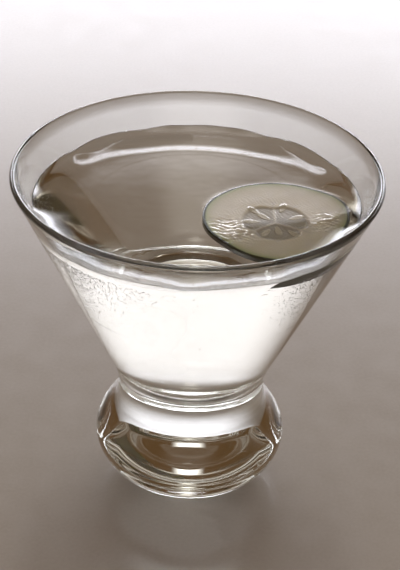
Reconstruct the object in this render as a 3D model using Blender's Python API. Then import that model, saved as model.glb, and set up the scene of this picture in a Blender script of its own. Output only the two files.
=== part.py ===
"""A stemless martini glass on a solid ball foot, filled with a clear drink.

A cucumber slice floats on the drink. Metres, +Z up. The origin is the middle
of the flat the glass stands on, and the glass is turned about Z.
"""

import math

import bmesh
import bpy
from mathutils import Matrix, Vector

# Rim and bowl
RIM_RADIUS = 0.0520
GLASS_HEIGHT = 0.1015
RIM_WALL = 0.0019
BOWL_WALL = 0.0022
BOWL_SLOPE = 0.475
RIM_DROP = 0.0006
RIM_DEPTH = 0.0060
SIDE_RINGS = (0.0615, 0.0815)

# Neck between the bowl and the foot
NECK_RADIUS = 0.0215
NECK_TOP = 0.0325
NECK_BOTTOM = 0.0286
BOWL_ROUNDING_TOP = 0.0420

# Ball foot, an oblate solid with a flat ground on its underside
FOOT_RADIUS = 0.0280
FOOT_CENTRE = 0.0150
FOOT_RISE = 0.0180
FOOT_DROP = 0.0174
FILLET_END_RADIUS = 0.0238
FLAT_EDGE_TOP = 0.0055
FLAT_EDGE_BEND = 0.0010

# Hollow of the bowl
HOLLOW_FLOOR = 0.0352
HOLLOW_CORNER = 0.0120

# Drink
DRINK_LEVEL = 0.0914
FIT_GAP = 0.0003

# Cucumber slice, its front edge under the surface and its back edge just proud of it
SLICE_RADIUS = 0.0210
SLICE_THICKNESS = 0.0030
SLICE_X = 0.0223
SLICE_Y = -0.0085
SLICE_TILT = math.radians(1.8)
SLICE_TILT_TOWARDS = math.radians(287.0)
SLICE_TOP = 0.00024
SLICE_EDGE = 0.0002
CORE_DEPTH = 0.00025
CORE_OUTER_SHARE = 0.52
CORE_INNER_SHARE = 0.42

# A cucumber is never quite round: where it swells or flattens, how widely, and by what share
SLICE_SWELLS = (
    (math.radians(35.0), math.radians(22.0), 0.075),
    (math.radians(222.0), math.radians(30.0), -0.085),
    (math.radians(345.0), math.radians(27.0), -0.100),
)
SLICE_WAVES = ((5, 0.004, 0.6), (9, 0.003, 2.0))

# How finely the round shapes are faceted
TURN_STEPS = 72
SLICE_STEPS = 60


def remove_startup_objects():
    """Empty the scene, whatever it opened with."""
    for obj in list(bpy.data.objects):
        bpy.data.objects.remove(obj, do_unlink=True)


def add_material(obj, name, colour, roughness, transmission=0.0, ior=1.5):
    """Give the object its own Principled material."""
    material = bpy.data.materials.new(name)
    material.use_nodes = True
    shader = material.node_tree.nodes["Principled BSDF"]
    shader.inputs["Base Color"].default_value = (*colour, 1.0)
    shader.inputs["Roughness"].default_value = roughness
    shader.inputs["Metallic"].default_value = 0.0
    shader.inputs["Transmission Weight"].default_value = transmission
    shader.inputs["IOR"].default_value = ior
    obj.data.materials.append(material)


def arc(centre, radii, start, end, steps):
    """Points of an elliptic arc in the (r, z) plane, angles in degrees."""
    points = []
    for i in range(steps + 1):
        angle = math.radians(start + (end - start) * i / steps)
        r = centre[0] + radii[0] * math.cos(angle)
        z = centre[1] + radii[1] * math.sin(angle)
        points.append((r, z))
    return points


def bend(start, corner, end, steps):
    """Points of a soft bend that leaves start and meets end along the corner's two sides."""
    points = []
    for i in range(steps + 1):
        t = i / steps
        weights = ((1 - t) ** 2, 2 * t * (1 - t), t * t)
        r = sum(w * p[0] for w, p in zip(weights, (start, corner, end)))
        z = sum(w * p[1] for w, p in zip(weights, (start, corner, end)))
        points.append((r, z))
    return points


def outer_bowl_radius(z):
    """Radius of the bowl's outer cone at height z."""
    return RIM_RADIUS - BOWL_SLOPE * (GLASS_HEIGHT - RIM_DROP - z)


def hollow_radius(z):
    """Radius of the bowl's inner cone at height z, a thicker wall towards the bottom."""
    lean = math.hypot(1.0, BOWL_SLOPE)
    share = (GLASS_HEIGHT - z) / (GLASS_HEIGHT - HOLLOW_FLOOR)
    wall = RIM_WALL + (BOWL_WALL - RIM_WALL) * share
    return outer_bowl_radius(z) - wall * lean


def foot_profile():
    """The ball, from the edge of its ground flat up to where the fillet begins."""
    below = math.degrees(math.asin((FLAT_EDGE_TOP - FOOT_CENTRE) / FOOT_DROP))
    above = math.degrees(math.acos(FILLET_END_RADIUS / FOOT_RADIUS))
    under = arc((0.0, FOOT_CENTRE), (FOOT_RADIUS, FOOT_DROP), below, 0.0, 8)
    upper = arc((0.0, FOOT_CENTRE), (FOOT_RADIUS, FOOT_RISE), 0.0, above, 8)
    r, z = under[0]
    lean = (FOOT_RADIUS / FOOT_DROP) ** 2 * (FOOT_CENTRE - z) / r
    corner = (r - lean * z, 0.0)
    edge = bend((corner[0] - FLAT_EDGE_BEND, 0.0), corner, under[0], 4)
    return edge + under[1:] + upper[1:]


def neck_profile(ball_end):
    """The fillet from the ball, the short upright neck and the rounding into the cone."""
    tangent = Vector((-FOOT_RADIUS * (ball_end[1] - FOOT_CENTRE) / FOOT_RISE,
                      FOOT_RISE * ball_end[0] / FOOT_RADIUS))
    reach = (NECK_RADIUS - ball_end[0]) / tangent.x
    corner = (NECK_RADIUS, ball_end[1] + tangent.y * reach)
    fillet = bend(ball_end, corner, (NECK_RADIUS, NECK_BOTTOM), 6)
    cone_start = (outer_bowl_radius(BOWL_ROUNDING_TOP), BOWL_ROUNDING_TOP)
    corner_z = BOWL_ROUNDING_TOP - (cone_start[0] - NECK_RADIUS) / BOWL_SLOPE
    rounding = bend((NECK_RADIUS, NECK_TOP), (NECK_RADIUS, corner_z), cone_start, 6)
    return fillet[1:] + rounding


def rim_profile():
    """The fire-polished rim, half round over the wall's width."""
    middle = RIM_RADIUS - RIM_WALL / 2
    height = GLASS_HEIGHT - RIM_WALL / 2
    lean = math.degrees(math.atan(BOWL_SLOPE))
    return arc((middle, height), (RIM_WALL / 2, RIM_WALL / 2), -lean, 180 - lean, 8)


def hollow_profile(inset, top):
    """The hollow's side and rounded floor, from a height down to the axis, moved in by inset."""
    floor = HOLLOW_FLOOR + inset
    side = [(hollow_radius(top) - inset, top)]
    corner = (hollow_radius(floor) - inset, floor)
    side_end_z = floor + HOLLOW_CORNER
    side_end = (hollow_radius(side_end_z) - inset, side_end_z)
    floor_start = (corner[0] - HOLLOW_CORNER, floor)
    return side + bend(side_end, corner, floor_start, 9) + [(0.0, floor)]


def turn(name, profile):
    """Turn an open profile, whose ends lie on the axis, into one closed solid."""
    mesh = bpy.data.meshes.new(name)
    shape = bmesh.new()
    rings = []
    for r, z in profile:
        if r < 1e-6:
            rings.append([shape.verts.new((0.0, 0.0, z))])
            continue
        ring = []
        for i in range(TURN_STEPS):
            angle = 2 * math.pi * i / TURN_STEPS
            ring.append(shape.verts.new((r * math.cos(angle), r * math.sin(angle), z)))
        rings.append(ring)
    for lower, upper in zip(rings, rings[1:]):
        for i in range(TURN_STEPS):
            j = (i + 1) % TURN_STEPS
            if len(lower) == 1:
                shape.faces.new((lower[0], upper[j], upper[i]))
            elif len(upper) == 1:
                shape.faces.new((lower[i], lower[j], upper[0]))
            else:
                shape.faces.new((lower[i], lower[j], upper[j], upper[i]))
    bmesh.ops.recalc_face_normals(shape, faces=shape.faces)
    shape.to_mesh(mesh)
    shape.free()
    mesh.shade_smooth()
    mesh.set_sharp_from_angle(angle=math.radians(40))
    obj = bpy.data.objects.new(name, mesh)
    bpy.context.scene.collection.objects.link(obj)
    return obj


def make_glass():
    """The whole glass: ball foot, neck, conical bowl and rim, in one piece."""
    foot = foot_profile()
    outside = [(0.0, 0.0)] + foot + neck_profile(foot[-1])
    side = [(outer_bowl_radius(z), z) for z in SIDE_RINGS]
    inside = hollow_profile(0.0, GLASS_HEIGHT - RIM_DEPTH)
    glass = turn("glass", outside + side + rim_profile() + inside)
    add_material(glass, "soda_lime_glass", (0.95, 0.97, 0.96), 0.02, 1.0, 1.52)
    return glass


def slice_outline(angle):
    """Radius of the slice at an angle round its middle."""
    share = 1.0
    for middle, width, height in SLICE_SWELLS:
        share += height * math.exp(-(math.remainder(angle - middle, 2 * math.pi) / width) ** 2)
    for count, height, start in SLICE_WAVES:
        share += height * math.sin(count * angle + start)
    return SLICE_RADIUS * share


def slice_solid(name, grow):
    """The slice, or with grow the space it needs in the drink, open at the top."""
    mesh = bpy.data.meshes.new(name)
    shape = bmesh.new()
    bottom = SLICE_TOP - SLICE_THICKNESS - grow
    if grow:
        levels = [(bottom, 1.0, grow), (GLASS_HEIGHT - DRINK_LEVEL, 1.0, grow)]
    else:
        edge = SLICE_EDGE
        levels = [(bottom, 1.0, -edge), (bottom + edge, 1.0, 0.0), (SLICE_TOP - edge, 1.0, 0.0),
                  (SLICE_TOP, 1.0, -edge), (SLICE_TOP, CORE_OUTER_SHARE, 0.0),
                  (SLICE_TOP - CORE_DEPTH, CORE_INNER_SHARE, 0.0)]
    rings = []
    for height, share, extra in levels:
        ring = []
        for i in range(SLICE_STEPS):
            angle = 2 * math.pi * i / SLICE_STEPS
            r = slice_outline(angle) * share + extra
            ring.append(shape.verts.new((r * math.cos(angle), r * math.sin(angle), height)))
        rings.append(ring)
    for lower, upper in zip(rings, rings[1:]):
        for i in range(SLICE_STEPS):
            j = (i + 1) % SLICE_STEPS
            shape.faces.new((lower[i], lower[j], upper[j], upper[i]))
    shape.faces.new(rings[0])
    shape.faces.new(rings[-1])
    bmesh.ops.recalc_face_normals(shape, faces=shape.faces)
    axis = Vector((-math.sin(SLICE_TILT_TOWARDS), math.cos(SLICE_TILT_TOWARDS), 0.0))
    tilt = Matrix.Rotation(SLICE_TILT, 4, axis)
    place = Matrix.Translation((SLICE_X, SLICE_Y, DRINK_LEVEL))
    bmesh.ops.transform(shape, matrix=place @ tilt, verts=shape.verts)
    shape.to_mesh(mesh)
    shape.free()
    mesh.shade_smooth()
    mesh.set_sharp_from_angle(angle=math.radians(30))
    obj = bpy.data.objects.new(name, mesh)
    bpy.context.scene.collection.objects.link(obj)
    return obj


def make_slice():
    """The cucumber slice: dark skin round its edge, and its seed core a little sunk."""
    cucumber = slice_solid("cucumber_slice", 0.0)
    add_material(cucumber, "cucumber", (0.62, 0.66, 0.50), 0.35)
    return cucumber


def make_drink():
    """The drink up to its level, with a pocket round the slice."""
    drink = turn("drink", [(0.0, DRINK_LEVEL)] + hollow_profile(FIT_GAP, DRINK_LEVEL))
    add_material(drink, "clear_cocktail", (0.90, 0.90, 0.86), 0.0, 1.0, 1.35)
    pocket = slice_solid("slice_pocket", FIT_GAP)
    pocket.hide_render = True
    pocket.display_type = "WIRE"
    cut = drink.modifiers.new("Pocket round the slice", "BOOLEAN")
    cut.operation = "DIFFERENCE"
    cut.object = pocket
    return drink


def build():
    """Every piece, under one empty at the middle of the foot."""
    remove_startup_objects()
    root = bpy.data.objects.new("martini_cocktail", None)
    bpy.context.scene.collection.objects.link(root)
    for piece in (make_glass(), make_drink(), make_slice()):
        piece.parent = root


build()
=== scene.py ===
"""Looks of a clear martini in a stemless glass with a solid ball foot, a cucumber slice afloat.

Metres, +Z up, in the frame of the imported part: the glass stands on z = 0, turned about Z.
"""

import math
import random

import bmesh
import bpy
import numpy as np
from mathutils import Matrix, Vector


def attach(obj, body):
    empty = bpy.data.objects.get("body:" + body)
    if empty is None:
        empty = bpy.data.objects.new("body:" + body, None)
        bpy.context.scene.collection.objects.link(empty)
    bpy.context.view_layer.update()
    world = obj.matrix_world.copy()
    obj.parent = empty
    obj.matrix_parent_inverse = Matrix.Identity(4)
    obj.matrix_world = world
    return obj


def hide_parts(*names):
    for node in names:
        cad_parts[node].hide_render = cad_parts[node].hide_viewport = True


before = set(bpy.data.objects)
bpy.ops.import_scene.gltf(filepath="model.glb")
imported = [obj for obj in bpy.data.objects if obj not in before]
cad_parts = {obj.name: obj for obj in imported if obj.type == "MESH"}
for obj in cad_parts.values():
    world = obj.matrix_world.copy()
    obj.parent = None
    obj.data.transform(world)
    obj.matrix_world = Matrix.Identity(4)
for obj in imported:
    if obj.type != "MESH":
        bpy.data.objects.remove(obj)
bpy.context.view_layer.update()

MM = 0.001

# Rim and bowl, the same real sizes as the solid
RIM_RADIUS = 0.0520
GLASS_HEIGHT = 0.1015
RIM_WALL = 0.0019
BOWL_WALL = 0.0022
BOWL_SLOPE = 0.475
RIM_DROP = 0.0006

# Neck between the bowl and the foot
NECK_RADIUS = 0.0215
NECK_TOP = 0.0325
NECK_BOTTOM = 0.0286
BOWL_ROUNDING_TOP = 0.0420

# Ball foot, an oblate solid with a flat ground on its underside
FOOT_RADIUS = 0.0280
FOOT_CENTRE = 0.0150
FOOT_RISE = 0.0180
FOOT_DROP = 0.0174
FILLET_END_RADIUS = 0.0238
FLAT_EDGE_TOP = 0.0055
FLAT_EDGE_BEND = 0.0010

# Hollow of the bowl
HOLLOW_FLOOR = 0.0352
HOLLOW_CORNER = 0.0120
HOLLOW_BELOW_RIM = 0.0008

# Drink, its edge drawn up the wall in a slightly uneven line; waves are (count, height, start)
DRINK_LEVEL = 0.0911
WALL_OVERLAP = 0.00012
WALL_BELOW_EDGE = 0.0002
MENISCUS_RISE = 0.0015
MENISCUS_SCALE = 0.0027
MENISCUS_WIDTH = 0.0160
MENISCUS_WAVES = ((9, 0.16, 0.4), (14, 0.12, 1.9), (23, 0.06, 4.1))
SLICE_MENISCUS = 0.0007
SLICE_PULL = 0.12
SLICE_PULL_LIMIT = 0.0008
WATERLINE_RISE = 0.00012
WATERLINE_DEPTH = 0.00016

# Cucumber slice, the same sizes as the solid; swells are (angle, width, height as a share)
SLICE_RADIUS = 0.0210
SLICE_THICKNESS = 0.0030
SLICE_X = 0.0223
SLICE_Y = -0.0085
SLICE_TILT = math.radians(1.8)
SLICE_TILT_TOWARDS = math.radians(287.0)
SLICE_TOP = 0.00024
SLICE_SWELLS = (
    (math.radians(35.0), math.radians(22.0), 0.075),
    (math.radians(222.0), math.radians(30.0), -0.085),
    (math.radians(345.0), math.radians(27.0), -0.100),
)
SLICE_WAVES = ((5, 0.004, 0.6), (9, 0.003, 2.0))
SLICE_EDGE = 0.00035
SKIN_DEPTH = 0.00075
SKIN_FULL_SHARE = 0.4
GREEN_DEPTH = 0.0013

# Seed core of the slice: three chambers between pale membranes, with seeds
CORE_X = -0.0006
CORE_Y = -0.0009
CORE_RADIUS = 0.0092
CORE_EDGE = 0.0009
CORE_DEPTH = 0.00022
CORE_DENT = 0.16
CORE_DENT_WIDTH = 0.30
MEMBRANES_AT = (math.radians(93.0), math.radians(219.0), math.radians(334.5))
MEMBRANE_WIDTH = 0.00050
MEMBRANE_REACH = 1.35 * CORE_RADIUS
MEMBRANE_RISE = 0.00005
SEED_LENGTH = 0.0046
SEED_WIDTH = 0.0019
SEED_TAPER = 0.45
SEED_SOFT_EDGE = (1.15, 0.80)
SEED_RISE = 0.00010
SEEDS = ((-0.0064, 0.0051), (-0.0070, -0.0006), (0.0001, -0.0050), (0.0016, 0.0071),
         (0.0052, 0.0023), (-0.0032, -0.0064), (0.0042, -0.0062), (-0.0038, 0.0022))

# Relief of the slice's face: two crossed waves, each (rate, wander, wander's rate, start)
CELL_HEIGHT = 0.00002
CELL_WAVES = ((5200, 3.0, 900, 0.0), (4700, 2.0, 1100, 0.0))
WET_FILM = 0.00003
WET_WAVES = ((410, 1.3, 260, 0.0), (370, 1.1, 230, math.pi / 2))
TORN_AT = ((-0.0150, -0.0040), (0.0150, 0.0010), (-0.0100, -0.0075))
TORN_REACH = 0.0048
TORN_DEPTH = 0.00009
TORN_WAVES = ((900, 2.6, 1300, 0.0), (1700, 3.0, 800, 0.0))

# Condensation: tiny drops on the cold outside of the bowl, just under the drink's level
DROP_COUNT = 8200
DROP_SEED = 11
DROP_RADII = (0.00009, 0.00026)
DROP_SMALLNESS = 2.2
DROP_BAND_TOP = 0.0900
DROP_BAND_DEPTH = 0.0150
DROP_BAND_THINNING = 2.2
DROP_BAND_END = 1.6

# Its two patches, as (angle round the bowl, spread), and the share of drops in the first
DROP_PATCHES = (
    (math.radians(212.0), math.radians(19.0)),
    (math.radians(322.0), math.radians(10.0)),
)
FIRST_PATCH_SHARE = 0.66

# Shape of one drop, in shares of its radius: rings as (width, rise), then its top
DROP_RINGS = ((1.0, -0.25), (0.72, 0.36))
DROP_TOP = 0.60
DROP_STRETCH = 1.15
DROP_CORNERS = 5

# Fineness of the pieces
TURN_STEPS = 480
SLICE_STEPS = 300
FACE_RINGS = 96
UNDERSIDE_RINGS = 30
SLICE_MIDDLE = 0.01
TINY = 1e-7


def linear(hex_colour):
    """An sRGB hex colour as linear RGBA."""
    channels = []
    for start in (0, 2, 4):
        value = int(hex_colour[start:start + 2], 16) / 255
        channels.append(value / 12.92 if value <= 0.04045 else ((value + 0.055) / 1.055) ** 2.4)
    return (*channels, 1.0)


def add_node(tree, kind, settings=None, inputs=None):
    """Add a node with its settings; an input is a value, or another node's output to link."""
    node = tree.nodes.new(kind)
    for name, value in (settings or {}).items():
        setattr(node, name, value)
    for name, value in (inputs or {}).items():
        if isinstance(value, bpy.types.NodeSocket):
            tree.links.new(value, node.inputs[name])
        else:
            node.inputs[name].default_value = value
    return node


def new_material(name):
    """A node material with nothing in it yet, and its tree."""
    material = bpy.data.materials.new(name)
    material.use_nodes = True
    material.node_tree.nodes.clear()
    return material, material.node_tree


def placed(name, data):
    """A new object in the scene, for a mesh or a camera."""
    obj = bpy.data.objects.new(name, data)
    bpy.context.scene.collection.objects.link(obj)
    return obj


def turn_between(angle, middle):
    """The turn from middle to angle the short way round, in radians."""
    return (angle - middle + math.pi) % (2 * math.pi) - math.pi


# Outlines of the turned pieces, as (radius, height) points


def arc(centre, radii, start, end, steps):
    """Points of an elliptic arc, angles in degrees."""
    angles = np.radians(np.linspace(start, end, steps + 1))
    return [(centre[0] + radii[0] * math.cos(a), centre[1] + radii[1] * math.sin(a))
            for a in angles]


def bend(start, corner, end, steps):
    """Points of a soft bend that leaves start and meets end along the corner's two sides."""
    points = []
    for t in np.linspace(0.0, 1.0, steps + 1):
        weights = ((1 - t) ** 2, 2 * t * (1 - t), t * t)
        r = sum(w * p[0] for w, p in zip(weights, (start, corner, end)))
        z = sum(w * p[1] for w, p in zip(weights, (start, corner, end)))
        points.append((r, z))
    return points


def straight(start, end, steps):
    """Evenly spaced points from start to end, both included."""
    return [tuple(p) for p in np.linspace(start, end, steps + 1)]


def outer_bowl_radius(z):
    """Radius of the bowl's outer cone at height z."""
    return RIM_RADIUS - BOWL_SLOPE * (GLASS_HEIGHT - RIM_DROP - z)


def hollow_radius(z):
    """Radius of the bowl's inner cone at height z, a thicker wall towards the bottom."""
    lean = math.hypot(1.0, BOWL_SLOPE)
    share = (GLASS_HEIGHT - z) / (GLASS_HEIGHT - HOLLOW_FLOOR)
    wall = RIM_WALL + (BOWL_WALL - RIM_WALL) * share
    return outer_bowl_radius(z) - wall * lean


def foot_profile():
    """The ball, from the edge of its ground flat up to where the fillet begins."""
    below = math.degrees(math.asin((FLAT_EDGE_TOP - FOOT_CENTRE) / FOOT_DROP))
    above = math.degrees(math.acos(FILLET_END_RADIUS / FOOT_RADIUS))
    under = arc((0.0, FOOT_CENTRE), (FOOT_RADIUS, FOOT_DROP), below, 0.0, steps=30)
    upper = arc((0.0, FOOT_CENTRE), (FOOT_RADIUS, FOOT_RISE), 0.0, above, steps=28)
    r, z = under[0]
    lean = (FOOT_RADIUS / FOOT_DROP) ** 2 * (FOOT_CENTRE - z) / r
    corner = (r - lean * z, 0.0)
    edge = bend((corner[0] - FLAT_EDGE_BEND, 0.0), corner, under[0], steps=14)
    return edge + under[1:] + upper[1:]


def neck_profile(ball_end):
    """The fillet from the ball, the short upright neck and the rounding into the cone."""
    tangent = Vector((-FOOT_RADIUS * (ball_end[1] - FOOT_CENTRE) / FOOT_RISE,
                      FOOT_RISE * ball_end[0] / FOOT_RADIUS))
    reach = (NECK_RADIUS - ball_end[0]) / tangent.x
    corner = (NECK_RADIUS, ball_end[1] + tangent.y * reach)
    fillet = bend(ball_end, corner, (NECK_RADIUS, NECK_BOTTOM), steps=14)
    cone_start = (outer_bowl_radius(BOWL_ROUNDING_TOP), BOWL_ROUNDING_TOP)
    corner_z = BOWL_ROUNDING_TOP - (cone_start[0] - NECK_RADIUS) / BOWL_SLOPE
    rounding = bend((NECK_RADIUS, NECK_TOP), (NECK_RADIUS, corner_z), cone_start, steps=14)
    return fillet[1:] + rounding


def rim_profile():
    """The fire-polished rim, half round over the wall's width."""
    lean = math.degrees(math.atan(BOWL_SLOPE))
    middle = RIM_RADIUS - RIM_WALL / 2
    height = GLASS_HEIGHT - RIM_WALL / 2
    return arc((middle, height), (RIM_WALL / 2, RIM_WALL / 2), -lean, 180 - lean, steps=20)


def hollow_profile(grow, top):
    """The hollow's side and rounded floor, from a height down to the axis, moved out by grow."""
    floor = HOLLOW_FLOOR - grow
    corner = (hollow_radius(floor) + grow, floor)
    side_end_z = floor + HOLLOW_CORNER
    side_end = (hollow_radius(side_end_z) + grow, side_end_z)
    side = straight((hollow_radius(top) + grow, top), side_end, steps=24)[:-1]
    floor_start = (corner[0] - HOLLOW_CORNER, floor)
    floor_run = straight(floor_start, (0.0, floor), steps=4)[1:]
    return side + bend(side_end, corner, floor_start, steps=16) + floor_run


def turned(name, profile):
    """Turn an open profile, whose ends lie on the axis, into one closed smooth mesh."""
    rings = [(max(r, 0.0), z) for r, z in profile]
    angles = np.linspace(0.0, 2 * math.pi, TURN_STEPS, endpoint=False)
    points = []
    faces = []
    starts = []
    for r, z in rings:
        starts.append(len(points))
        if r < TINY:
            points.append((0.0, 0.0, z))
        else:
            points.extend((r * math.cos(a), r * math.sin(a), z) for a in angles)
    for k in range(len(rings) - 1):
        lower = starts[k]
        upper = starts[k + 1]
        for i in range(TURN_STEPS):
            j = (i + 1) % TURN_STEPS
            if rings[k][0] < TINY:
                faces.append((lower, upper + j, upper + i))
            elif rings[k + 1][0] < TINY:
                faces.append((lower + i, lower + j, upper))
            else:
                faces.append((lower + i, lower + j, upper + j, upper + i))
    mesh = bpy.data.meshes.new(name)
    mesh.from_pydata(points, [], faces)
    mesh.update()
    obj = placed(name, mesh)
    orient(mesh)
    mesh.shade_smooth()
    return obj


def orient(mesh):
    """Point every face of a closed mesh outwards."""
    shape = bmesh.new()
    shape.from_mesh(mesh)
    bmesh.ops.recalc_face_normals(shape, faces=shape.faces)
    shape.to_mesh(mesh)
    shape.free()


def make_glass():
    """The whole glass in one piece: ground flat, ball, neck, cone, rim and hollow."""
    foot = foot_profile()
    flat = straight((0.0, 0.0), foot[0], steps=8)[:-1]
    neck = neck_profile(foot[-1])
    rim = rim_profile()
    side = straight(neck[-1], rim[0], steps=30)[1:-1]
    hollow = hollow_profile(0.0, rim[-1][1] - HOLLOW_BELOW_RIM)
    glass = turned("martini_glass", flat + foot + neck + side + rim + hollow)
    glass.data.materials.append(soda_lime_glass())
    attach(glass, "root")
    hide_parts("glass")


def drink_profile():
    """The drink: level surface, meniscus up the wall, then just inside the wall to the floor."""
    top = DRINK_LEVEL + MENISCUS_RISE
    edge = hollow_radius(top)
    surface = straight((0.0, DRINK_LEVEL), (edge - MENISCUS_WIDTH, DRINK_LEVEL), steps=80)[:-1]
    rise = []
    for t in np.linspace(0.0, 1.0, 56):
        from_wall = MENISCUS_WIDTH * (1 - t)
        height = MENISCUS_RISE * math.exp(-from_wall / MENISCUS_SCALE)
        rise.append((edge - from_wall, DRINK_LEVEL + height))
    return surface + rise + hollow_profile(WALL_OVERLAP, top - WALL_BELOW_EDGE)


def slice_outline(angle):
    """Radius of the slice at an angle round its middle."""
    share = 1.0
    for middle, width, height in SLICE_SWELLS:
        share = share + height * np.exp(-(turn_between(angle, middle) / width) ** 2)
    for count, height, start in SLICE_WAVES:
        share = share + height * np.sin(count * angle + start)
    return SLICE_RADIUS * share


def fade(value, start, end):
    """Runs smoothly from 0 where value is start to 1 where it is end."""
    t = np.clip((value - start) / (end - start), 0.0, 1.0)
    return t * t * (3 - 2 * t)


def shape_surface(mesh):
    """Draw the drink's surface up the wall in an uneven line, and up to the slice that wets it."""
    points = np.empty(len(mesh.vertices) * 3)
    mesh.vertices.foreach_get("co", points)
    points = points.reshape(-1, 3)
    x, y, z = points.T
    on_top = z > DRINK_LEVEL - TINY
    angle = np.arctan2(y, x)
    uneven = sum(height * np.sin(count * angle + start) for count, height, start in MENISCUS_WAVES)
    wall_rise = (z - DRINK_LEVEL) * (1 + uneven)
    across = x - SLICE_X
    along = y - SLICE_Y
    outside = np.hypot(across, along) - slice_outline(np.arctan2(along, across))
    downhill = across * math.cos(SLICE_TILT_TOWARDS) + along * math.sin(SLICE_TILT_TOWARDS)
    proud = SLICE_TOP - math.tan(SLICE_TILT) * downhill
    nearness = np.exp(-np.maximum(outside, 0.0) / SLICE_MENISCUS)
    pulled_up = np.clip(proud, 0.0, SLICE_PULL_LIMIT) * SLICE_PULL * nearness
    waterline = WATERLINE_RISE * np.exp(-((proud - WATERLINE_DEPTH) / WATERLINE_DEPTH) ** 2)
    slice_rise = np.where(outside > 0.0, pulled_up, waterline)
    z[on_top] = (DRINK_LEVEL + wall_rise + slice_rise)[on_top]
    mesh.vertices.foreach_set("co", points.reshape(-1))
    mesh.update()


def make_drink():
    """The clear drink, from the floor of the bowl up to its level."""
    drink = turned("clear_martini", drink_profile())
    shape_surface(drink.data)
    drink.data.materials.append(clear_cocktail())
    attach(drink, "root")
    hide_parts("drink")


def slice_marks(x, y):
    """How far points of the slice's face belong to its seed core, membranes and seeds, 0 to 1."""
    across = x - CORE_X
    along = y - CORE_Y
    reach = np.hypot(across, along)
    angle = np.arctan2(along, across)
    chamber = np.full_like(reach, CORE_RADIUS)
    membrane = np.zeros_like(reach)
    for middle in MEMBRANES_AT:
        aside = turn_between(angle, middle)
        chamber *= 1 - CORE_DENT * np.exp(-(aside / CORE_DENT_WIDTH) ** 2)
        off = np.where(np.cos(aside) > 0, np.abs(reach * np.sin(aside)), reach + MEMBRANE_WIDTH)
        membrane = np.maximum(membrane, np.exp(-(off / MEMBRANE_WIDTH) ** 2))
    core = fade(reach, chamber + CORE_EDGE, chamber - CORE_EDGE)
    membrane *= fade(reach, MEMBRANE_REACH, CORE_RADIUS)
    seed = np.zeros_like(reach)
    for seed_x, seed_y in SEEDS:
        turn = math.atan2(seed_y - CORE_Y, seed_x - CORE_X)
        u = (x - seed_x) * math.cos(turn) + (y - seed_y) * math.sin(turn)
        v = (y - seed_y) * math.cos(turn) - (x - seed_x) * math.sin(turn)
        narrowing = 1 - SEED_TAPER * np.clip(-u / SEED_LENGTH, -0.5, 0.5)
        size = np.hypot(2 * u / SEED_LENGTH, 2 * v / (SEED_WIDTH * narrowing))
        seed = np.maximum(seed, fade(size, *SEED_SOFT_EDGE))
    return core, membrane, seed


def slice_rings():
    """Rings of the slice from the middle of its top, over its edge, to the middle of its underside.

    Each is (share of the face's radius, distance beyond the face, height, share of skin).
    """
    top = SLICE_TOP
    bottom = SLICE_TOP - SLICE_THICKNESS
    rings = [(share, 0.0, top, 0.0) for share in np.linspace(SLICE_MIDDLE, 1.0, FACE_RINGS)]
    quarter = np.linspace(0.0, math.pi / 2, 7)[1:]
    for a in quarter:
        rings.append((1.0, SLICE_EDGE * math.sin(a), top - SLICE_EDGE * (1 - math.cos(a)), 1.0))
    side = np.linspace(top - SLICE_EDGE, bottom + SLICE_EDGE, 6)
    rings += [(1.0, SLICE_EDGE, z, 1.0) for z in side[1:]]
    for a in quarter:
        rings.append((1.0, SLICE_EDGE * math.cos(a), bottom + SLICE_EDGE * (1 - math.sin(a)), 1.0))
    underside = np.linspace(1.0, SLICE_MIDDLE, UNDERSIDE_RINGS)
    rings += [(share, 0.0, bottom, 0.0) for share in underside[1:]]
    return rings


def crossed_waves(x, y, waves):
    """Two sets of wandering waves across each other, from -1 to 1."""
    (rate_x, wander_x, bend_x, start_x), (rate_y, wander_y, bend_y, start_y) = waves
    first = np.sin(rate_x * x + wander_x * np.sin(bend_x * y) + start_x)
    second = np.sin(rate_y * y + wander_y * np.sin(bend_y * x) + start_y)
    return first * second


def face_relief(x, y, core, membrane, seed):
    """Height of the slice's face: sunken core, seeds, fine cells, wet film and torn patches."""
    relief = CELL_HEIGHT * crossed_waves(x, y, CELL_WAVES) + WET_FILM * crossed_waves(x, y, WET_WAVES)
    for torn_x, torn_y in TORN_AT:
        near = np.exp(-((x - torn_x) ** 2 + (y - torn_y) ** 2) / TORN_REACH ** 2)
        relief += TORN_DEPTH * near * crossed_waves(x, y, TORN_WAVES)
    return relief - CORE_DEPTH * core + SEED_RISE * seed + MEMBRANE_RISE * membrane * core


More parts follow.
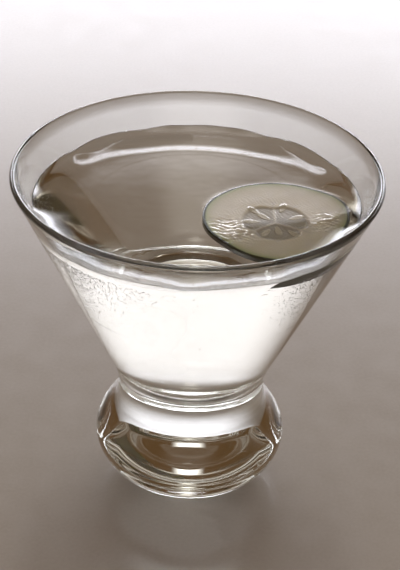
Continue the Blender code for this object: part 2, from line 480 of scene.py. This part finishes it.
def make_slice():
    """The cucumber slice: dark skin, green under it, pale flesh and a sunken core with seeds."""
    rings = slice_rings()
    angles = np.linspace(0.0, 2 * math.pi, SLICE_STEPS, endpoint=False)
    face = slice_outline(angles) - SLICE_EDGE
    radii = np.array([share * face + beyond for share, beyond, _, _ in rings])
    x = radii * np.cos(angles)
    y = radii * np.sin(angles)
    heights = np.array([height for _, _, height, _ in rings])
    skins = np.array([skin for _, _, _, skin in rings])
    z = np.repeat(heights[:, None], SLICE_STEPS, axis=1)
    side = np.repeat(skins[:, None], SLICE_STEPS, axis=1)
    from_edge = np.where(side > 0.5, 0.0, face[None, :] - radii)
    core, membrane, seed = slice_marks(x, y)
    on_face = (side < 0.5) * np.where(z > SLICE_TOP - SLICE_THICKNESS / 2, 1.0, 0.0)
    z = z + face_relief(x, y, core, membrane, seed) * on_face
    points = np.stack((x, y, z), axis=-1).reshape(-1, 3)
    faces = []
    for k in range(len(rings) - 1):
        for i in range(SLICE_STEPS):
            j = (i + 1) % SLICE_STEPS
            start = k * SLICE_STEPS
            faces.append((start + i, start + j, start + SLICE_STEPS + j, start + SLICE_STEPS + i))
    faces.append(tuple(range(SLICE_STEPS)))
    faces.append(tuple(range(len(points) - SLICE_STEPS, len(points))))
    mesh = bpy.data.meshes.new("cucumber_slice")
    mesh.from_pydata(points.tolist(), [], faces)
    marks = {
        "skin": fade(from_edge, SKIN_DEPTH, SKIN_FULL_SHARE * SKIN_DEPTH),
        "green": np.exp(-from_edge / GREEN_DEPTH),
        "core": core,
        "membrane": membrane,
        "seed": seed,
    }
    for name, values in marks.items():
        mesh.attributes.new(name, "FLOAT", "POINT").data.foreach_set("value", values.reshape(-1))
    axis = Vector((-math.sin(SLICE_TILT_TOWARDS), math.cos(SLICE_TILT_TOWARDS), 0.0))
    middle = Matrix.Translation((SLICE_X, SLICE_Y, DRINK_LEVEL))
    mesh.transform(middle @ Matrix.Rotation(SLICE_TILT, 4, axis))
    cucumber = placed("cucumber_garnish", mesh)
    orient(mesh)
    mesh.shade_smooth()
    mesh.materials.append(wet_cucumber())
    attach(cucumber, "root")
    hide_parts("cucumber_slice")


def make_condensation():
    """Thousands of tiny drops in two patches on the outside of the bowl, thinning out downwards."""
    chance = random.Random(DROP_SEED)
    points = []
    faces = []
    lean = math.atan(BOWL_SLOPE)
    smallest, largest = DROP_RADII
    for _ in range(DROP_COUNT):
        patch = DROP_PATCHES[0] if chance.random() < FIRST_PATCH_SHARE else DROP_PATCHES[1]
        angle = chance.gauss(*patch)
        depth = min(chance.expovariate(DROP_BAND_THINNING), DROP_BAND_END)
        height = DROP_BAND_TOP - DROP_BAND_DEPTH * depth
        radius = smallest + (largest - smallest) * chance.random() ** DROP_SMALLNESS
        around = Vector((-math.sin(angle), math.cos(angle), 0.0))
        outward = Vector((math.cos(angle) * math.cos(lean), math.sin(angle) * math.cos(lean),
                          -math.sin(lean)))
        downhill = around.cross(outward)
        r = outer_bowl_radius(height)
        at = Vector((r * math.cos(angle), r * math.sin(angle), height))
        start = len(points)
        for share, rise in DROP_RINGS:
            for i in range(DROP_CORNERS):
                turn = 2 * math.pi * i / DROP_CORNERS
                flat = around * math.cos(turn) + downhill * (math.sin(turn) * DROP_STRETCH)
                points.append(at + (flat * share + outward * rise) * radius)
        points.append(at + outward * (DROP_TOP * radius))
        upper = start + DROP_CORNERS
        for i in range(DROP_CORNERS):
            j = (i + 1) % DROP_CORNERS
            faces.append((start + i, start + j, upper + j, upper + i))
            faces.append((upper + i, upper + j, upper + DROP_CORNERS))
        faces.append(tuple(range(start, upper)))
    mesh = bpy.data.meshes.new("condensation")
    mesh.from_pydata(points, [], faces)
    drops = placed("condensation", mesh)
    orient(mesh)
    mesh.shade_smooth()
    mesh.materials.append(condensed_water())
    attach(drops, "root")


def layered(tree, base, layers):
    """A socket of the base colour with each (share, colour) of layers laid over it in turn."""
    for share, colour in layers:
        mix = add_node(tree, "ShaderNodeMix", {"data_type": "RGBA"}, {0: share, 6: base, 7: colour})
        base = mix.outputs[2]
    return base


def grain(tree, size, detail=4.0):
    """A noise socket whose blotches are about size across, in metres."""
    coords = add_node(tree, "ShaderNodeTexCoord")
    noise = add_node(tree, "ShaderNodeTexNoise", {}, {
        "Vector": coords.outputs["Object"], "Scale": 1.0 / size, "Detail": detail})
    return noise.outputs["Fac"]


def wet_cucumber():
    """Fresh cucumber: translucent watery flesh, glassy core, thin dark skin, a wet film over all."""
    material, tree = new_material("wet_cucumber")
    marks = {}
    for name in ("skin", "green", "core", "membrane", "seed"):
        marks[name] = add_node(tree, "ShaderNodeAttribute", {"attribute_name": name}).outputs["Fac"]
    blotch = grain(tree, 4.0 * MM)
    fine = grain(tree, 0.5 * MM, 6.0)
    core = layered(tree, linear("A59D86"), [(fine, linear("BDB59C"))])
    skin = layered(tree, linear("10190A"), [(fine, linear("2A3D16"))])
    colour = layered(tree, linear("F0EAD4"), [
        (blotch, linear("E0D8BC")),
        (marks["core"], core),
        (marks["membrane"], linear("DAD4BF")),
        (marks["seed"], linear("CFC7A9")),
        (marks["green"], linear("93AE45")),
        (marks["skin"], skin),
    ])
    bump = add_node(tree, "ShaderNodeBump", {}, {
        "Height": fine, "Strength": 0.35, "Distance": 0.12 * MM})
    shader = add_node(tree, "ShaderNodeBsdfPrincipled", {}, {
        "Base Color": colour, "Roughness": 0.38, "IOR": 1.36, "Normal": bump.outputs["Normal"],
        "Subsurface Weight": 0.45, "Subsurface Radius": (1.0, 0.9, 0.5), "Subsurface Scale": 1.6 * MM,
        "Coat Weight": 0.8, "Coat Roughness": 0.05, "Coat IOR": 1.34})
    add_node(tree, "ShaderNodeOutputMaterial", {}, {"Surface": shader.outputs["BSDF"]})
    return material


def condensed_water():
    """Condensed water: clear drops, each a tiny lens that sparkles against the glass."""
    material, tree = new_material("condensed_water")
    film = grain(tree, 2.0 * MM)
    rough = add_node(tree, "ShaderNodeMapRange", {}, {
        "Value": film, "To Min": 0.0, "To Max": 0.08})
    shader = add_node(tree, "ShaderNodeBsdfPrincipled", {}, {
        "Base Color": linear("FFFFFF"), "Roughness": rough.outputs[0], "IOR": 1.333,
        "Transmission Weight": 1.0})
    add_node(tree, "ShaderNodeOutputMaterial", {}, {"Surface": shader.outputs["BSDF"]})
    return material


def soda_lime_glass():
    """Pressed, fire-polished soda-lime glass: clear, slightly wavy, a breath of green in its depth."""
    material, tree = new_material("soda_lime_glass")
    waves = grain(tree, 15.0 * MM, 1.0)
    smears = grain(tree, 7.0 * MM, 5.0)
    bump = add_node(tree, "ShaderNodeBump", {}, {
        "Height": waves, "Strength": 1.0, "Distance": 0.04 * MM})
    rough = add_node(tree, "ShaderNodeMapRange", {}, {
        "Value": smears, "From Min": 0.52, "From Max": 0.80, "To Min": 0.0, "To Max": 0.06})
    shader = add_node(tree, "ShaderNodeBsdfPrincipled", {}, {
        "Base Color": linear("FDFEFD"), "Roughness": rough.outputs[0], "IOR": 1.52,
        "Transmission Weight": 1.0, "Normal": bump.outputs["Normal"]})
    depth = add_node(tree, "ShaderNodeVolumeAbsorption", {}, {
        "Color": linear("E2EFE6"), "Density": 2.5})
    add_node(tree, "ShaderNodeOutputMaterial", {}, {
        "Surface": shader.outputs["BSDF"], "Volume": depth.outputs["Volume"]})
    return material


def clear_cocktail():
    """Gin and vermouth stirred cold: water-clear liquid with a mirror-smooth surface."""
    material, tree = new_material("clear_cocktail")
    ripples = grain(tree, 11.0 * MM, 2.0)
    bump = add_node(tree, "ShaderNodeBump", {}, {
        "Height": ripples, "Strength": 1.0, "Distance": 0.03 * MM})
    shader = add_node(tree, "ShaderNodeBsdfPrincipled", {}, {
        "Base Color": linear("FEFDFB"), "Roughness": 0.0, "IOR": 1.345,
        "Transmission Weight": 1.0, "Normal": bump.outputs["Normal"]})
    depth = add_node(tree, "ShaderNodeVolumeAbsorption", {}, {
        "Color": linear("F0E6D6"), "Density": 1.5})
    add_node(tree, "ShaderNodeOutputMaterial", {}, {
        "Surface": shader.outputs["BSDF"], "Volume": depth.outputs["Volume"]})
    return material


# Setting: floor, light and camera

CAMERA_AT = (0.0, -0.43987, 0.33620)
CAMERA_PITCH = math.radians(31.70)
CAMERA_YAW = math.radians(0.22)
CAMERA_ROLL = math.radians(2.07)
CAMERA_FOCUS_PX = 1800.0
PICTURE_HEIGHT_PX = 570
SENSOR_MM = 36.0

FLOOR_HALF = 6.0
FLOOR_GAP = 0.0002

SURROUND_COLOUR = "5A4229"
BACK_TOP_COLOUR = "F3F4FF"
BACK_TOP_STRENGTH = 10.0
BACK_LOW_COLOUR = "FCFBFF"
BACK_LOW_STRENGTH = 3.2
SOFTBOX_COLOUR = "FFFBF4"
OVERHEAD_STRENGTH = 3.0
FILL_STRENGTH = 0.8

# Edges of the light panels, each from where there is no light to where it is full
BACK_LEFT = (-0.66, -0.20)
BACK_RIGHT = (0.85, 0.30)
BACK_FRONT = (0.0, 0.2)
BACK_LOW_TOP = (0.49, 0.445)
BACK_LOW_BOTTOM = (-0.03, 0.03)
BACK_TOP_TOP = (0.45, 0.39)
BACK_TOP_BOTTOM = (0.27, 0.36)
OVERHEAD_FAR = (0.69, 0.67)
OVERHEAD_NEAR = (0.10, 0.25)
OVERHEAD_SIDE = (0.15, 0.01)
FILL_TOP = (0.60, 0.50)
FILL_BOTTOM = (0.0, 0.1)
FILL_SIDE = (0.60, 0.20)
FILL_BACK = (0.0, -0.2)
LEAST_UPWARD = 0.001


def make_camera():
    """A long lens above the rim, looking down at the fitted angle and a little rolled."""
    forward = Vector((math.sin(CAMERA_YAW) * math.cos(CAMERA_PITCH),
                      math.cos(CAMERA_YAW) * math.cos(CAMERA_PITCH), -math.sin(CAMERA_PITCH)))
    level_right = Vector((math.cos(CAMERA_YAW), -math.sin(CAMERA_YAW), 0.0))
    level_up = level_right.cross(forward)
    right = math.cos(CAMERA_ROLL) * level_right + math.sin(CAMERA_ROLL) * level_up
    up = math.cos(CAMERA_ROLL) * level_up - math.sin(CAMERA_ROLL) * level_right
    lens = bpy.data.cameras.new("camera")
    lens.sensor_width = SENSOR_MM
    lens.lens = CAMERA_FOCUS_PX / PICTURE_HEIGHT_PX * SENSOR_MM
    lens.clip_start = 0.01
    lens.clip_end = 50.0
    camera = placed("camera", lens)
    turn = Matrix((right, up, -forward)).transposed().to_4x4()
    camera.matrix_world = Matrix.Translation(CAMERA_AT) @ turn
    bpy.context.scene.camera = camera


def make_floor():
    """A wide, plain, pale satin floor."""
    mesh = bpy.data.meshes.new("floor")
    corners = [(x * FLOOR_HALF, y * FLOOR_HALF, 0) for x, y in ((-1, -1), (1, -1), (1, 1), (-1, 1))]
    mesh.from_pydata(corners, [], [(0, 1, 2, 3)])
    floor = placed("floor", mesh)
    floor.location.z = -FLOOR_GAP
    material, tree = new_material("pale_satin_board")
    mottle = grain(tree, 9.0 * MM)
    fine = grain(tree, 1.1 * MM, 6.0)
    colour = layered(tree, linear("B2A899"), [
        (mottle, linear("BCB3A5")), (fine, linear("C3BBAE"))])
    rough = add_node(tree, "ShaderNodeMapRange", {}, {
        "Value": mottle, "To Min": 0.21, "To Max": 0.29})
    shader = add_node(tree, "ShaderNodeBsdfPrincipled", {}, {
        "Base Color": colour, "Roughness": rough.outputs[0], "IOR": 1.5})
    add_node(tree, "ShaderNodeOutputMaterial", {}, {"Surface": shader.outputs["BSDF"]})
    mesh.materials.append(material)


def panel_mask(tree, edges):
    """A socket that is 1 inside a light panel and 0 outside; an edge is (value, none, full)."""
    mask = 1.0
    for value, none, full in edges:
        rising = none < full
        step = add_node(tree, "ShaderNodeMapRange", {"interpolation_type": "SMOOTHSTEP"}, {
            "Value": value, "From Min": min(none, full), "From Max": max(none, full),
            "To Min": 0.0 if rising else 1.0, "To Max": 1.0 if rising else 0.0})
        inside = add_node(tree, "ShaderNodeMath", {"operation": "MULTIPLY"}, {
            0: mask, 1: step.outputs[0]})
        mask = inside.outputs[0]
    return mask


def light_studio():
    """Soft studio light: a wide panel behind, a slim softbox overhead, a little fill in front."""
    world = bpy.data.worlds.new("studio")
    bpy.context.scene.world = world
    world.use_nodes = True
    tree = world.node_tree
    tree.nodes.clear()
    coords = add_node(tree, "ShaderNodeTexCoord")
    axes = add_node(tree, "ShaderNodeSeparateXYZ", {}, {0: coords.outputs["Generated"]})
    x, y, z = axes.outputs
    aside = add_node(tree, "ShaderNodeMath", {"operation": "ABSOLUTE"}, {0: x}).outputs[0]
    upward = add_node(tree, "ShaderNodeMath", {"operation": "MAXIMUM"}, {0: z, 1: LEAST_UPWARD})
    side_slope = add_node(tree, "ShaderNodeMath", {"operation": "DIVIDE"}, {
        0: aside, 1: upward.outputs[0]}).outputs[0]
    depth_slope = add_node(tree, "ShaderNodeMath", {"operation": "DIVIDE"}, {
        0: y, 1: upward.outputs[0]}).outputs[0]
    back_sides = [(x, *BACK_LEFT), (x, *BACK_RIGHT), (y, *BACK_FRONT)]
    panels = (
        (BACK_LOW_COLOUR, BACK_LOW_STRENGTH,
         [(z, *BACK_LOW_TOP), (z, *BACK_LOW_BOTTOM)] + back_sides),
        (BACK_TOP_COLOUR, BACK_TOP_STRENGTH,
         [(z, *BACK_TOP_TOP), (z, *BACK_TOP_BOTTOM)] + back_sides),
        (SOFTBOX_COLOUR, OVERHEAD_STRENGTH,
         [(depth_slope, *OVERHEAD_FAR), (depth_slope, *OVERHEAD_NEAR), (side_slope, *OVERHEAD_SIDE)]),
        (SOFTBOX_COLOUR, FILL_STRENGTH,
         [(z, *FILL_TOP), (z, *FILL_BOTTOM), (aside, *FILL_SIDE), (y, *FILL_BACK)]),
    )
    light = add_node(tree, "ShaderNodeBackground", {}, {
        "Color": linear(SURROUND_COLOUR), "Strength": 1.0})
    for colour, strength, edges in panels:
        power = add_node(tree, "ShaderNodeMath", {"operation": "MULTIPLY"}, {
            0: panel_mask(tree, edges), 1: strength})
        glow = add_node(tree, "ShaderNodeBackground", {}, {
            "Color": linear(colour), "Strength": power.outputs[0]})
        light = add_node(tree, "ShaderNodeAddShader", {}, {0: light.outputs[0], 1: glow.outputs[0]})
    add_node(tree, "ShaderNodeOutputWorld", {}, {"Surface": light.outputs[0]})


def set_view():
    """Plain colour handling, and enough light bounces for glass in glass."""
    scene = bpy.context.scene
    scene.view_settings.view_transform = "Standard"
    scene.cycles.max_bounces = 24
    scene.cycles.transmission_bounces = 24
    scene.cycles.glossy_bounces = 12


make_camera()
make_floor()
light_studio()
set_view()
make_glass()
make_drink()
make_slice()
make_condensation()
